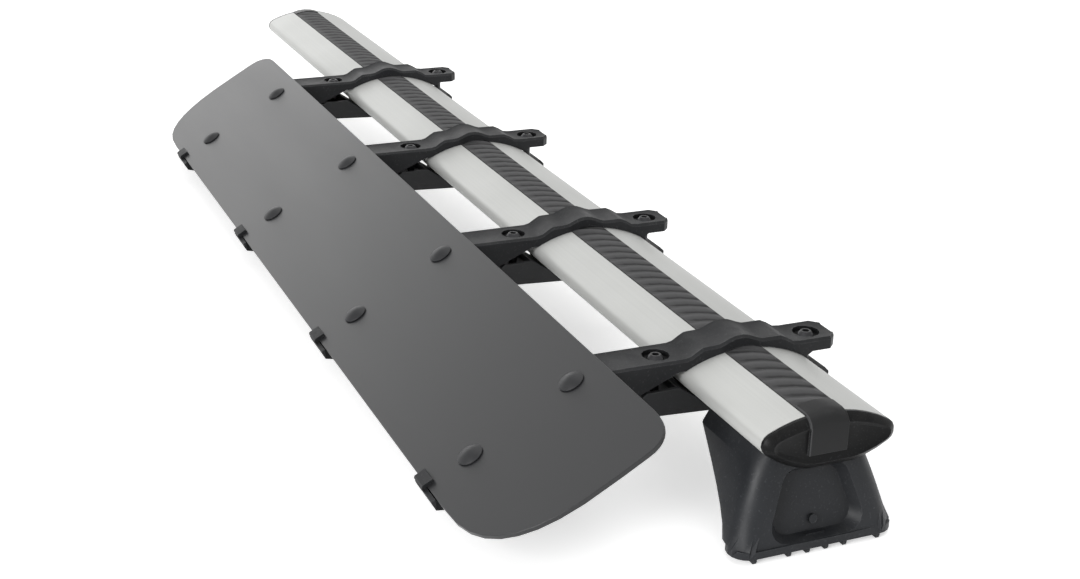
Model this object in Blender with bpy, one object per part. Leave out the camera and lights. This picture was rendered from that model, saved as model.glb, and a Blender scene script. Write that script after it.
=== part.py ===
"""Wind fairing of a roof rack, on the crossbar, strip, end caps and leg that it is bolted to.

Sizes are in metres. +X runs along the crossbar to the end that stands on the leg, -Y faces the
front of the vehicle and +Z is up. The origin is the middle of the leg's sole.
"""

import math

import bmesh
import bpy
from mathutils import Matrix, Vector

# Clearances
SEAT_GAP = 0.0003
HOLE_CLEARANCE = 0.0003

# Crossbar: an aerofoil section of two arcs that meet in round ends, with a flat belly
BAR_LENGTH = 1.042
BAR_FRONT = 0.0392
BAR_REAR = 0.0452
BAR_TOP_RADIUS = 0.083
BAR_TOP_RISE = 0.0131
BAR_BOTTOM_DROP = 0.0195
BAR_BELLY = 0.0016
BAR_NOSE_RADIUS = 0.007
BAR_WALL = 0.0022
BAR_AXIS_HEIGHT = 0.0714
BAR_END_FROM_LEG = 0.0070
BAR_ARC_STEPS = 14
BAR_NOSE_STEPS = 5
WEB_OFFSET = 0.0145
SLOT_WIDTH = 0.0085
SLOT_INNER_WIDTH = 0.0180
SLOT_LIP = 0.0024
SLOT_INNER_HEIGHT = 0.0056

# Rubber strip in the top channel
STRIP_WIDTH = 0.024
STRIP_CHANNEL_DEPTH = 0.003
STRIP_CROWN = 0.0021
STRIP_EDGE_RISE = 0.0004
RIB_PITCH = 0.0125
RIB_DEPTH = 0.0009
RIB_SLANT = 0.0094
RIB_CREST = 0.22
RIB_BOW = 0.0016
RIB_SPANS = 4

# End caps
CAP_DEPTH = 0.0065
CAP_SIDE = 0.0022
CAP_ROUNDING = 0.0016
CAP_DISH_INSET = 0.0048
CAP_DISH_SLOPE = 0.0030
CAP_DISH_DEPTH = 0.0012
CAP_ARC_STEPS = 10
CAP_TAB_REACH = 0.011
CAP_TAB_RISE = 0.0006
CAP_TAB_PROUD = 0.0006
CAP_TAB_FOOT = -0.0092
CAP_SPIGOT_LENGTH = 0.014
CAP_SPIGOT_STEPS = 3

# Fairing panel
PANEL_LENGTH = 0.862
PANEL_HEIGHT = 0.1225
PANEL_THICKNESS = 0.003
PANEL_TILT = math.radians(30.3)
PANEL_EDGE_Y = -0.0865
PANEL_EDGE_Z = 0.0129
PANEL_SHIFT = -0.0055
PANEL_UPPER_CORNER = (0.028, 0.020)
PANEL_LOWER_CORNER = (0.072, 0.085)
PANEL_UPPER_POWER = 2.3
PANEL_LOWER_POWER = 2.8
PANEL_CORNER_STEPS = 9
FIX_UPPER = 0.0210
FIX_LOWER = 0.0925

# Panel screws and the caps over them
SCREW_RADIUS = 0.0025
SCREW_HEAD_RADIUS = 0.0042
SCREW_HEAD_HEIGHT = 0.0014
SCREW_HEAD_FLAT = 0.7
SCREW_LENGTH = 0.012
SCREW_STEPS = 10
DOME_RADIUS = 0.0081
DOME_HEIGHT = 0.0036
DOME_RINGS = (0.45, 0.8)
DOME_EDGE = 0.0006
DOME_WALL = 0.0011
DOME_STEPS = 16

# Brackets
BRACKET_COUNT = 4
BRACKET_PITCH = 0.2197
LAST_BRACKET_FROM_END = 0.1025
BRACKET_HALF_WIDTH = 0.014
LEG_HALF_WIDTH = 0.0115
ARM_TOP = 0.0116
SHOULDER_RISE = 0.0056
SHOULDER_FOOT = 0.0370
SHOULDER_CREST = 0.0250
HUMP_RISE = 0.0044
HUMP_CENTRE = -0.0020
HUMP_FOOT = 0.0165
HUMP_CREST = 0.0015
REAR_ARM_END = 0.0655
REAR_ARM_DEPTH = 0.0076
REAR_CORNER = 0.0050
TOP_EDGE_ROUNDING = 0.0016
TOP_RIM_WIDTH = 0.0016
TOP_RIM_STEP = 0.0006
GUSSET_DEPTH = 0.0230
GUSSET_TOE_DEPTH = 0.0085
GUSSET_START = -0.0050
BRACKET_WALL = 0.0026
BOSS_RADIUS = 0.0062
HOOK_REACH = 0.0038
HOOK_LIP_OVERLAP = 0.0052
HOOK_LIP_THICKNESS = 0.0021
STRAP_WRAP = 0.0015
STRAP_STEPS = 7
STRAP_CLEARANCE = 0.0012
STRIP_STEPS = 4
ARM_STEPS = 3
GUSSET_STATIONS = (0.016, 0.045, 0.080, 0.108)
NOSE_ROOM = 0.003

# Clamp bolts, nuts and jaws
BOLT_SPAN = 0.102
BOLT_RADIUS = 0.003
BOLT_HEAD_RADIUS = 0.00525
BOLT_HEAD_HEIGHT = 0.0033
BOLT_HEAD_FLAT = 0.62
BOLT_TIP_CHAMFER = 0.00075
BOLT_LENGTH = 0.0295
BOLT_SOCKET_FLATS = 0.004
BOLT_SOCKET_DEPTH = 0.0019
BOLT_STEPS = 12
COUNTERBORE_RADIUS = 0.0085
COUNTERBORE_DEPTH = 0.0036
NUT_FLATS = 0.010
NUT_HEIGHT = 0.005
JAW_HALF_WIDTH = 0.0140
JAW_NOSE = 0.0660
JAW_NOSE_RADIUS = 0.0048
JAW_NOSE_TURN = (250, 215, 180, 145, 110)
JAW_TAIL = 0.0610
JAW_WALL = 0.003
JAW_RIM = -0.0060
JAW_LUG_TOP = -0.0080
JAW_SEAT_TOP = -0.0110
JAW_SEAT_THICKNESS = 0.003
JAW_BELLY = 0.0027
JAW_CRADLE_FRONT = 0.0355
JAW_CRADLE_REAR = 0.0400
JAW_CRADLE_STEPS = 14
JAW_POCKET_START = 0.0150
JAW_POCKET_END = 0.0360
PAD_THICKNESS = 0.0012
PAD_HALF_WIDTH = 0.0120
PAD_REACH = 0.0330
PAD_STEPS = 12

# Leg
SOLE_LENGTH = 0.027
SOLE_WIDTH = 0.1056
SKIRT_HEIGHT = 0.0034
SOLE_STEP = 0.0045
SOLE_STEP_HEIGHT = 0.0080
LEG_TOP_LENGTH = 0.0690
LEG_TOP_WIDTH = 0.0460
LEG_FACE_LEAN = 0.016
LEG_FLARE_POWER = 0.66
LEG_SWEEP_POWER = 1.4
LEG_SHOULDER_HEIGHT = 0.0515
LEG_LEVELS = 6
LEG_CORNER_RADIUS = 0.012
LEG_FOOT_CORNER = 0.0120
LEG_NECK_CORNER = 0.0050
LEG_WALL = 0.003
LEG_CAVITY_CORNERS = (0.003, 0.0065)
LEG_BACK_WALL = 0.0055
LEG_FACE_WALL = 0.0105
FACE_WALL_LAP = 0.0085
LEG_ROOF = 0.0075
RIB_THICKNESS = 0.0022
RIB_OFFSETS = (0.006, 0.018, 0.040)
LAND_LENGTH = 0.018
LAND_HEIGHT = 0.010
RECESS_DEPTH = 0.0062
RECESS_BOTTOM = 0.0085
RECESS_TOP = 0.0510
RECESS_BOTTOM_HALF = 0.0335
RECESS_TOP_HALF = 0.0190
RECESS_CORNER = 0.0100
RECESS_BOSS_RADIUS = 0.0026
RECESS_BOSS_HEIGHT = 0.0018
LEG_BOLT_XS = (-0.050, -0.026)
LEG_BOLT_RADIUS = 0.003
LEG_BOLT_HEAD_RADIUS = 0.005
LEG_BOLT_HEAD_HEIGHT = 0.006
LEG_BOLT_ACCESS_RADIUS = 0.009
PLATE_LENGTH = 0.044
PLATE_THICKNESS = 0.003

# Places worked out from the sizes above
BAR_END_X = BAR_END_FROM_LEG
BAR_START_X = BAR_END_X - BAR_LENGTH
LAST_BRACKET_X = BAR_END_X - LAST_BRACKET_FROM_END
BRACKET_XS = [LAST_BRACKET_X - BRACKET_PITCH * back for back in reversed(range(BRACKET_COUNT))]
BRACKET_MIDDLE_X = (BRACKET_XS[0] + BRACKET_XS[-1]) / 2
CHANNEL_HALF = STRIP_WIDTH / 2 + SEAT_GAP
PANEL_BACK = PANEL_THICKNESS + SEAT_GAP
JAW_SEAT_OFFSET = PAD_THICKNESS + 2 * SEAT_GAP
BOLT_SEAT_Z = ARM_TOP - COUNTERBORE_DEPTH
NUT_SEAT_Z = JAW_SEAT_TOP - JAW_SEAT_THICKNESS
LEG_TOP_Z = BAR_AXIS_HEIGHT
SHARP_ANGLE = math.radians(32)


def round_end(y):
    """The middle of a round end at this y, where the end touches the top arc from inside."""
    return y, BAR_TOP_RISE - BAR_TOP_RADIUS + math.sqrt((BAR_TOP_RADIUS - BAR_NOSE_RADIUS) ** 2 - y**2)


ENDS = {-1: round_end(BAR_NOSE_RADIUS - BAR_FRONT), 1: round_end(BAR_REAR - BAR_NOSE_RADIUS)}


def belly_circle():
    """Radius and centre of the lower arc, which both round ends touch from inside."""
    (front_y, front_z), (rear_y, rear_z) = ENDS[-1], ENDS[1]
    half = math.dist(ENDS[-1], ENDS[1]) / 2
    tilt = math.atan2(rear_z - front_z, rear_y - front_y)
    middle_y = (front_y + rear_y) / 2
    middle_z = (front_z + rear_z) / 2
    depth = BAR_BOTTOM_DROP + BAR_BELLY - BAR_NOSE_RADIUS + middle_z
    spare = half**2 - depth**2
    level = depth * math.cos(tilt)
    rise = spare / (level + math.sqrt(level**2 - spare * math.sin(tilt) ** 2))
    radius = math.hypot(half, rise) + BAR_NOSE_RADIUS
    return radius, (middle_y - rise * math.sin(tilt), middle_z + rise * math.cos(tilt))


class Arc:
    """One side of the bar's section: a circle that the round ends touch, cut flat at its crest."""

    def __init__(self, side, radius, centre, crest):
        self.side = side
        self.radius = radius
        self.centre_y, self.centre_z = centre
        self.crest = crest

    def height(self, y, grow=0.0):
        """Z of this side at y, with the section grown outwards."""
        drop = math.sqrt((self.radius + grow) ** 2 - (y - self.centre_y) ** 2)
        return self.side * min(self.side * self.centre_z + drop, self.crest + grow)

    def angle(self, end):
        """The angle between +Y and the spoke to where this side meets a round end."""
        y, z = ENDS[end]
        return math.atan2(self.side * (z - self.centre_z), y - self.centre_y)

    def tangent_y(self, end, grow=0.0):
        """Y where this side meets a round end."""
        return self.centre_y + (self.radius + grow) * math.cos(self.angle(end))

    def run(self, y_from, y_to, steps, grow=0.0):
        """Points along this side, evenly spaced in angle, with the corners of its flat."""
        radius = self.radius + grow
        first = math.acos((y_from - self.centre_y) / radius)
        last = math.acos((y_to - self.centre_y) / radius)
        angles = [first + (last - first) * step / steps for step in range(steps + 1)]
        ys = [self.centre_y + radius * math.cos(angle) for angle in angles]
        level = self.crest + grow - self.side * self.centre_z
        flat = math.sqrt(max(radius**2 - level**2, 0.0))
        if flat > BAR_NOSE_RADIUS:
            low, high = sorted((y_from, y_to))
            corners = (self.centre_y - flat, self.centre_y + flat)
            ys = sorted([*ys, *(y for y in corners if low < y < high)], reverse=y_from > y_to)
        return [(y, self.height(y, grow)) for y in ys]


TOP = Arc(1, BAR_TOP_RADIUS, (0.0, BAR_TOP_RISE - BAR_TOP_RADIUS), BAR_TOP_RISE)
BOTTOM = Arc(-1, *belly_circle(), BAR_BOTTOM_DROP)
CHANNEL_FLOOR = TOP.height(CHANNEL_HALF) - STRIP_CHANNEL_DEPTH
STRIP_EDGE_Z = TOP.height(STRIP_WIDTH / 2) + STRIP_EDGE_RISE
STRIP_CROWN_Z = STRIP_EDGE_Z + STRIP_CROWN


def ease(value, start, end):
    """0 before start and 1 after end, with a smooth step between. Start may be above end."""
    share = min(max((value - start) / (end - start), 0.0), 1.0)
    return share * share * (3 - 2 * share)


def blend(first, last, share):
    return first + (last - first) * share


def nose(side, steps, grow=0.0):
    """Points between the two tangents of one round end, without them, from the top down."""
    y, z = ENDS[side]
    first = TOP.angle(side)
    last = -BOTTOM.angle(side) if side > 0 else 2 * math.pi - BOTTOM.angle(side)
    radius = BAR_NOSE_RADIUS + grow
    angles = [first + (last - first) * step / steps for step in range(1, steps)]
    return [(y + radius * math.cos(a), z + radius * math.sin(a)) for a in angles]


def lens(grow=0.0, arc_steps=BAR_ARC_STEPS, nose_steps=BAR_NOSE_STEPS):
    """The bar's outer outline, grown outwards by grow."""
    points = TOP.run(TOP.tangent_y(1, grow), TOP.tangent_y(-1, grow), arc_steps, grow)
    points += nose(-1, nose_steps, grow)
    points += BOTTOM.run(BOTTOM.tangent_y(-1, grow), BOTTOM.tangent_y(1, grow), arc_steps, grow)
    points += reversed(nose(1, nose_steps, grow))
    return points


def shrunk_lens(inset):
    """The bar's outline drawn in towards its middle, for the dished faces of the end caps."""
    middle_y = (BAR_REAR - BAR_FRONT) / 2
    middle_z = (BAR_TOP_RISE - BAR_BOTTOM_DROP) / 2
    across = 1 - 2 * inset / (BAR_FRONT + BAR_REAR)
    up = 1 - 2 * inset / (BAR_TOP_RISE + BAR_BOTTOM_DROP)
    outline = lens(0.0, CAP_ARC_STEPS)
    return [(middle_y + (y - middle_y) * across, middle_z + (z - middle_z) * up) for y, z in outline]


def circle(radius, steps, centre=(0.0, 0.0)):
    angles = [2 * math.pi * step / steps for step in range(steps)]
    return [(centre[0] + radius * math.cos(a), centre[1] + radius * math.sin(a)) for a in angles]


def hexagon(flats, centre=(0.0, 0.0)):
    """A hexagon with two flats square to the second axis."""
    return circle(flats / math.sqrt(3), 6, centre)


def rounded_polygon(corners, radius, steps):
    """The outline through these corners, each turned by an arc of this radius."""
    points = []
    for index, corner in enumerate(corners):
        before = (Vector(corners[index - 1]) - Vector(corner)).normalized()
        after = (Vector(corners[(index + 1) % len(corners)]) - Vector(corner)).normalized()
        half = before.angle(after) / 2
        centre = Vector(corner) + (before + after).normalized() * radius / math.sin(half)
        start = Vector(corner) + before * radius / math.tan(half) - centre
        end = Vector(corner) + after * radius / math.tan(half) - centre
        turn = start.angle_signed(end)
        for step in range(steps + 1):
            spoke = Matrix.Rotation(-turn * step / steps, 2) @ start
            points.append(tuple(centre + spoke))
    return points


def panel_point(down, behind):
    """(y, z) of a point this far down the panel from its upper edge and behind its front face."""
    y = PANEL_EDGE_Y - down * math.cos(PANEL_TILT) + behind * math.sin(PANEL_TILT)
    z = PANEL_EDGE_Z - down * math.sin(PANEL_TILT) - behind * math.cos(PANEL_TILT)
    return y, z


def plain_material(name, colour, roughness, metallic=0.0):
    material = bpy.data.materials.new(name)
    material.use_nodes = True
    shader = material.node_tree.nodes["Principled BSDF"]
    shader.inputs["Base Color"].default_value = (*colour, 1.0)
    shader.inputs["Roughness"].default_value = roughness
    shader.inputs["Metallic"].default_value = metallic
    return material


def finished(bm, name):
    """The mesh of these faces, turned outwards and shaded smooth up to its sharp edges."""
    bmesh.ops.recalc_face_normals(bm, faces=bm.faces[:])
    mesh = bpy.data.meshes.new(name)
    bm.to_mesh(mesh)
    bm.free()
    mesh.shade_smooth()
    mesh.set_sharp_from_angle(angle=SHARP_ANGLE)
    return mesh


AXES = {
    "X": lambda a, b, along: (along, a, b),
    "Y": lambda a, b, along: (a, along, b),
    "Z": lambda a, b, along: (a, b, along),
}


def prism(name, loops, start, end, axis="X"):
    """A straight solid: the first loop is its section's outline and the others are holes in it."""
    place = AXES[axis]
    bm = bmesh.new()
    rims = [[bm.verts.new(place(a, b, start)) for a, b in loop] for loop in loops]
    edges = [bm.edges.new(pair) for rim in rims for pair in zip(rim, rim[1:] + rim[:1])]
    filled = bmesh.ops.triangle_fill(bm, edges=edges, use_beauty=True)["geom"]
    caps = [item for item in filled if isinstance(item, bmesh.types.BMFace)]
    lids = [[bm.verts.new(place(a, b, end)) for a, b in loop] for loop in loops]
    twin = {near: far for rim, lid in zip(rims, lids) for near, far in zip(rim, lid)}
    for cap in caps:
        bm.faces.new([twin[vert] for vert in reversed(cap.verts)])
    for rim, lid in zip(rims, lids):
        count = len(rim)
        for index in range(count):
            after = (index + 1) % count
            bm.faces.new((rim[index], rim[after], lid[after], lid[index]))
    return finished(bm, name)


def loft(name, rings):
    """A solid through rings of equally many points, closed flat at both ends."""
    bm = bmesh.new()
    made = [[bm.verts.new(point) for point in ring] for ring in rings]
    for first, second in zip(made, made[1:]):
        for index in range(len(first)):
            after = (index + 1) % len(first)
            bm.faces.new((first[index], first[after], second[after], second[index]))
    bm.faces.new(made[0])
    bm.faces.new(reversed(made[-1]))
    return finished(bm, name)


def revolve(name, profile, steps):
    """A solid turned about Z from (radius, z) points that start and end on the axis."""
    bm = bmesh.new()
    rows = []
    for radius, z in profile:
        if radius == 0:
            rows.append([bm.verts.new((0, 0, z))])
        else:
            rows.append([bm.verts.new((x, y, z)) for x, y in circle(radius, steps)])
    for first, second in zip(rows, rows[1:]):
        for index in range(steps):
            after = (index + 1) % steps
            corners = [first[index % len(first)], first[after % len(first)]]
            corners += [second[after % len(second)], second[index % len(second)]]
            bm.faces.new(list(dict.fromkeys(corners)))
    return finished(bm, name)


def combined(name, mesh, joined=(), cut=()):
    """The mesh with others joined to it and others cut from it."""
    body = bpy.data.objects.new(name, mesh)
    bpy.context.scene.collection.objects.link(body)
    helpers = []
    for operation, meshes in (("UNION", joined), ("DIFFERENCE", cut)):
        for other in meshes:
            helper = bpy.data.objects.new(name + "_helper", other)
            helper.hide_render = True
            helper.display_type = "WIRE"
            bpy.context.scene.collection.objects.link(helper)
            helpers.append(helper)
            boolean = body.modifiers.new(operation.lower(), "BOOLEAN")
            boolean.operation = operation
            boolean.solver = "EXACT"
            boolean.object = helper
    bpy.context.view_layer.update()
    graph = bpy.context.evaluated_depsgraph_get()
    result = bpy.data.meshes.new_from_object(body.evaluated_get(graph))
    result.name = name
    for helper in [body, *helpers]:
        bpy.data.objects.remove(helper)
    result.shade_smooth()
    result.set_sharp_from_angle(angle=SHARP_ANGLE)
    return result


def moved(mesh, matrix):
    mesh.transform(matrix)
    return mesh


def empty(name, location, parent=None, rotation=(0.0, 0.0, 0.0)):
    made = bpy.data.objects.new(name, None)
    made.location = location
    made.rotation_euler = rotation
    made.parent = parent
    bpy.context.scene.collection.objects.link(made)
    return made


def add(name, mesh, material, parent, location=(0.0, 0.0, 0.0), rotation=(0.0, 0.0, 0.0)):
    """One piece of the assembly. Copies of a piece share its mesh."""
    made = bpy.data.objects.new(name, mesh)
    if not mesh.materials:
        mesh.materials.append(material)
    made.location = location
    made.rotation_euler = rotation
    made.parent = parent
    bpy.context.scene.collection.objects.link(made)
    return made


def bar_section():
    """The bar's outline with the strip's channel and the bottom slot, and its three chambers."""
    half_steps = BAR_ARC_STEPS // 2
    slot = SLOT_WIDTH / 2
    inner = SLOT_INNER_WIDTH / 2
    lip_z = BOTTOM.height(slot) + SLOT_LIP
    roof_z = lip_z + SLOT_INNER_HEIGHT
    outline = TOP.run(TOP.tangent_y(1), CHANNEL_HALF, half_steps)
    outline += [(CHANNEL_HALF, CHANNEL_FLOOR), (-CHANNEL_HALF, CHANNEL_FLOOR)]
    outline += TOP.run(-CHANNEL_HALF, TOP.tangent_y(-1), half_steps)
    outline += nose(-1, BAR_NOSE_STEPS)
    outline += BOTTOM.run(BOTTOM.tangent_y(-1), -slot, half_steps)
    outline += [(-slot, lip_z), (-inner, lip_z), (-inner, roof_z)]
    outline += [(inner, roof_z), (inner, lip_z), (slot, lip_z)]
    outline += BOTTOM.run(slot, BOTTOM.tangent_y(1), half_steps)
    outline += reversed(nose(1, BAR_NOSE_STEPS))
    chambers = []
    for side in (1, -1):
        web = side * WEB_OFFSET
        chamber = TOP.run(web, TOP.tangent_y(side, -BAR_WALL), half_steps, -BAR_WALL)
        chamber += nose(side, BAR_NOSE_STEPS // 2, -BAR_WALL)
        chamber += BOTTOM.run(BOTTOM.tangent_y(side, -BAR_WALL), web, half_steps, -BAR_WALL)
        chambers.append(chamber)
    core_half = WEB_OFFSET - BAR_WALL
    core_top = CHANNEL_FLOOR - BAR_WALL
    core_bottom = roof_z + BAR_WALL
    core = [(core_half, core_top), (-core_half, core_top), (-core_half, core_bottom)]
    core.append((core_half, core_bottom))
    return [outline, *chambers, core]


def strip_height(y):
    """The strip's top over its width, without the ribs."""
    across = y / (STRIP_WIDTH / 2)
    return STRIP_EDGE_Z + STRIP_CROWN * (1 - across**2)


def strip_mesh(start, end):
    """The strip with its slanted, bowed ribs: each rises in a curve and drops at its far side."""
    half = STRIP_WIDTH / 2
    base = CHANNEL_FLOOR + SEAT_GAP
    room = end - start - 2 * RIB_SLANT
    count = max(2, round(room / RIB_PITCH))
    pitch = room / count
    ys = [-half + STRIP_WIDTH * span / RIB_SPANS for span in range(RIB_SPANS + 1)]
    rings = []

    def ring(x, slant, drop):
        row = []
        for y in ys:
            across = y / half
            shift = slant * (RIB_SLANT * across / 2 + RIB_BOW * (1 - across**2))
            row.append((x + shift, y, strip_height(y) - drop * (1 - across**4)))
        return [(row[0][0], -half, base), *row, (row[-1][0], half, base)]

    rings.append(ring(start, 0, 0))
    for index in range(count + 1):
        valley = start + RIB_SLANT + pitch * index
        rings.append(ring(valley, 1, RIB_DEPTH))
        if index < count:
            rings.append(ring(valley + pitch * RIB_CREST, 1, 0))
    rings.append(ring(end, 0, 0))
    return loft("rubber_strip", rings)


def cap_tab_outline(y):
    """(x, z) round the cap's tab at this y: it ramps up its front and over the strip's end."""
    under = CHANNEL_FLOOR + SEAT_GAP
    inside = CAP_DEPTH / 3
    top = strip_height(y) + CAP_TAB_RISE
    front = CAP_DEPTH + CAP_TAB_PROUD
    return [
        (-CAP_TAB_REACH, under),
        (inside, under),
        (inside, CAP_TAB_FOOT),
        (front, CAP_TAB_FOOT),
        (front, top - 4 * CAP_ROUNDING),
        (front - CAP_ROUNDING, top - 2 * CAP_ROUNDING),
        (front - 3 * CAP_ROUNDING, top - CAP_ROUNDING / 2),
        (-CAP_ROUNDING, top),
        (-CAP_TAB_REACH, top),
    ]


def end_cap_mesh():
    """A cap that faces +X from the bar's end at x = 0, with a crowned rim round a shallow dish."""
    rim = lens(0.0, CAP_ARC_STEPS)
    outlines = [
        (SEAT_GAP, rim),
        (CAP_SIDE, rim),
        ((CAP_SIDE + CAP_DEPTH) / 2, shrunk_lens(CAP_ROUNDING)),
        (CAP_DEPTH, shrunk_lens(CAP_DISH_INSET)),
        (CAP_DEPTH - CAP_DISH_DEPTH, shrunk_lens(CAP_DISH_INSET + CAP_DISH_SLOPE)),
    ]
    shell = loft("end_cap", [[(x, y, z) for y, z in outline] for x, outline in outlines])
    half = STRIP_WIDTH / 2
    ys = [-half + STRIP_WIDTH * span / RIB_SPANS for span in range(RIB_SPANS + 1)]
    tab = loft("end_cap_tab", [[(x, y, z) for x, z in cap_tab_outline(y)] for y in ys])
    gap = BAR_WALL + SEAT_GAP
    steps = CAP_SPIGOT_STEPS
    spigots = []
    for side, tip in ((1, BAR_REAR), (-1, BAR_FRONT)):
        near_y = side * (WEB_OFFSET + SEAT_GAP)
        far_y = side * (tip - CAP_SPIGOT_LENGTH)
        outline = TOP.run(far_y, near_y, steps, -gap) + BOTTOM.run(near_y, far_y, steps, -gap)
        spigots.append(prism("end_cap_spigot", [outline], -CAP_SPIGOT_LENGTH, CAP_SIDE))
    return combined("end_cap", shell, [tab, *spigots])


def panel_outline():
    """(x, down) round the panel, with a superellipse at each corner."""
    half = PANEL_LENGTH / 2

    def corner(size, power, side, lower):
        points = []
        for step in range(PANEL_CORNER_STEPS + 1):
            angle = math.pi / 2 * step / PANEL_CORNER_STEPS
            out = size[0] * (1 - math.cos(angle) ** (2 / power))
            down = size[1] * (1 - math.sin(angle) ** (2 / power))
            points.append((side * (half - out), PANEL_HEIGHT - down if lower else down))
        return points

    upper_near = corner(PANEL_UPPER_CORNER, PANEL_UPPER_POWER, 1, False)
    upper_far = corner(PANEL_UPPER_CORNER, PANEL_UPPER_POWER, -1, False)
    lower_near = corner(PANEL_LOWER_CORNER, PANEL_LOWER_POWER, 1, True)
    lower_far = corner(PANEL_LOWER_CORNER, PANEL_LOWER_POWER, -1, True)
    return upper_near[::-1] + lower_near + lower_far[::-1] + upper_far


def panel_mesh(fixings):
    """The sheet in its own plane, with its front face at z = 0 and its upper edge at y = 0."""
    outline = [(x, -down) for x, down in panel_outline()]
    hole = SCREW_RADIUS + HOLE_CLEARANCE
    holes = [circle(hole, SCREW_STEPS, (x, -down)) for x, down in fixings]
    return prism("fairing_panel", [outline, *holes], -PANEL_THICKNESS, 0.0, "Z")


def screw_mesh():
    """A pan-head screw that points down -Z, with its head on z = 0."""
    head = SCREW_HEAD_RADIUS
    profile = [
        (0, SCREW_HEAD_HEIGHT),
        (head * SCREW_HEAD_FLAT, SCREW_HEAD_HEIGHT),
        (head, SCREW_HEAD_HEIGHT / 2),
        (head, 0.0),
        (SCREW_RADIUS, 0.0),
        (SCREW_RADIUS, -SCREW_LENGTH + SCREW_RADIUS),
        (0, -SCREW_LENGTH),
    ]
    return revolve("panel_screw", profile, SCREW_STEPS)


def dome_mesh():
    """A hollow domed cap that stands on z = 0."""
    rise = DOME_HEIGHT - DOME_EDGE
    sphere = (DOME_RADIUS**2 + rise**2) / (2 * rise)

    def crown(radius, drop):
        return DOME_HEIGHT - drop - sphere + math.sqrt(sphere**2 - radius**2)

    inner = DOME_RADIUS - DOME_WALL
    profile = [(0, DOME_HEIGHT)]
    profile += [(DOME_RADIUS * share, crown(DOME_RADIUS * share, 0)) for share in DOME_RINGS]
    profile += [(DOME_RADIUS, DOME_EDGE), (DOME_RADIUS, 0.0), (inner, 0.0)]
    ring = inner * sum(DOME_RINGS) / len(DOME_RINGS)
    profile += [(ring, crown(ring, DOME_WALL)), (0, DOME_HEIGHT - DOME_WALL)]
    return revolve("panel_cap", profile, DOME_STEPS)


def strap_top(y):
    """The bracket's top over its length: flat arms, a shoulder over each side of the bar, and a hump."""
    shoulder = ease(abs(y), SHOULDER_FOOT, SHOULDER_CREST)
    hump = ease(abs(y - HUMP_CENTRE), HUMP_FOOT, HUMP_CREST)
    return ARM_TOP + SHOULDER_RISE * shoulder + HUMP_RISE * hump


def strap_bottom(y):
    """The bracket's underside, which lies on the bar and the strip."""
    if abs(y) <= STRIP_WIDTH / 2:
        return strip_height(y) + SEAT_GAP
    return TOP.height(y, SEAT_GAP)


def gusset_point(down):
    """The lower edge of the leg, which thins from the arm to the toe."""
    share = (down - GUSSET_START) / (PANEL_HEIGHT - GUSSET_START)
    depth = blend(GUSSET_DEPTH, GUSSET_TOE_DEPTH, share)
    return panel_point(down, PANEL_BACK + depth)


def bracket_ring(top, bottom, half_width, rounding):
    """A cross-section of the bracket: its two upper edges are chamfered inside a low rim."""
    up = Vector(top) - Vector(bottom)
    depth = up.length
    rim = half_width - rounding
    flat = rim - TOP_RIM_WIDTH
    low = depth - min(TOP_RIM_STEP, rounding)
    profile = [
        (-half_width, 0.0),
        (-half_width, depth - rounding),
        (-rim, depth),
        (-flat, low),
        (flat, low),
        (rim, depth),
        (half_width, depth - rounding),
        (half_width, 0.0),
    ]
    points = []
    for x, height in profile:
        y, z = Vector(bottom) + up * (height / depth)
        points.append((x, y, z))
    return points


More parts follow.
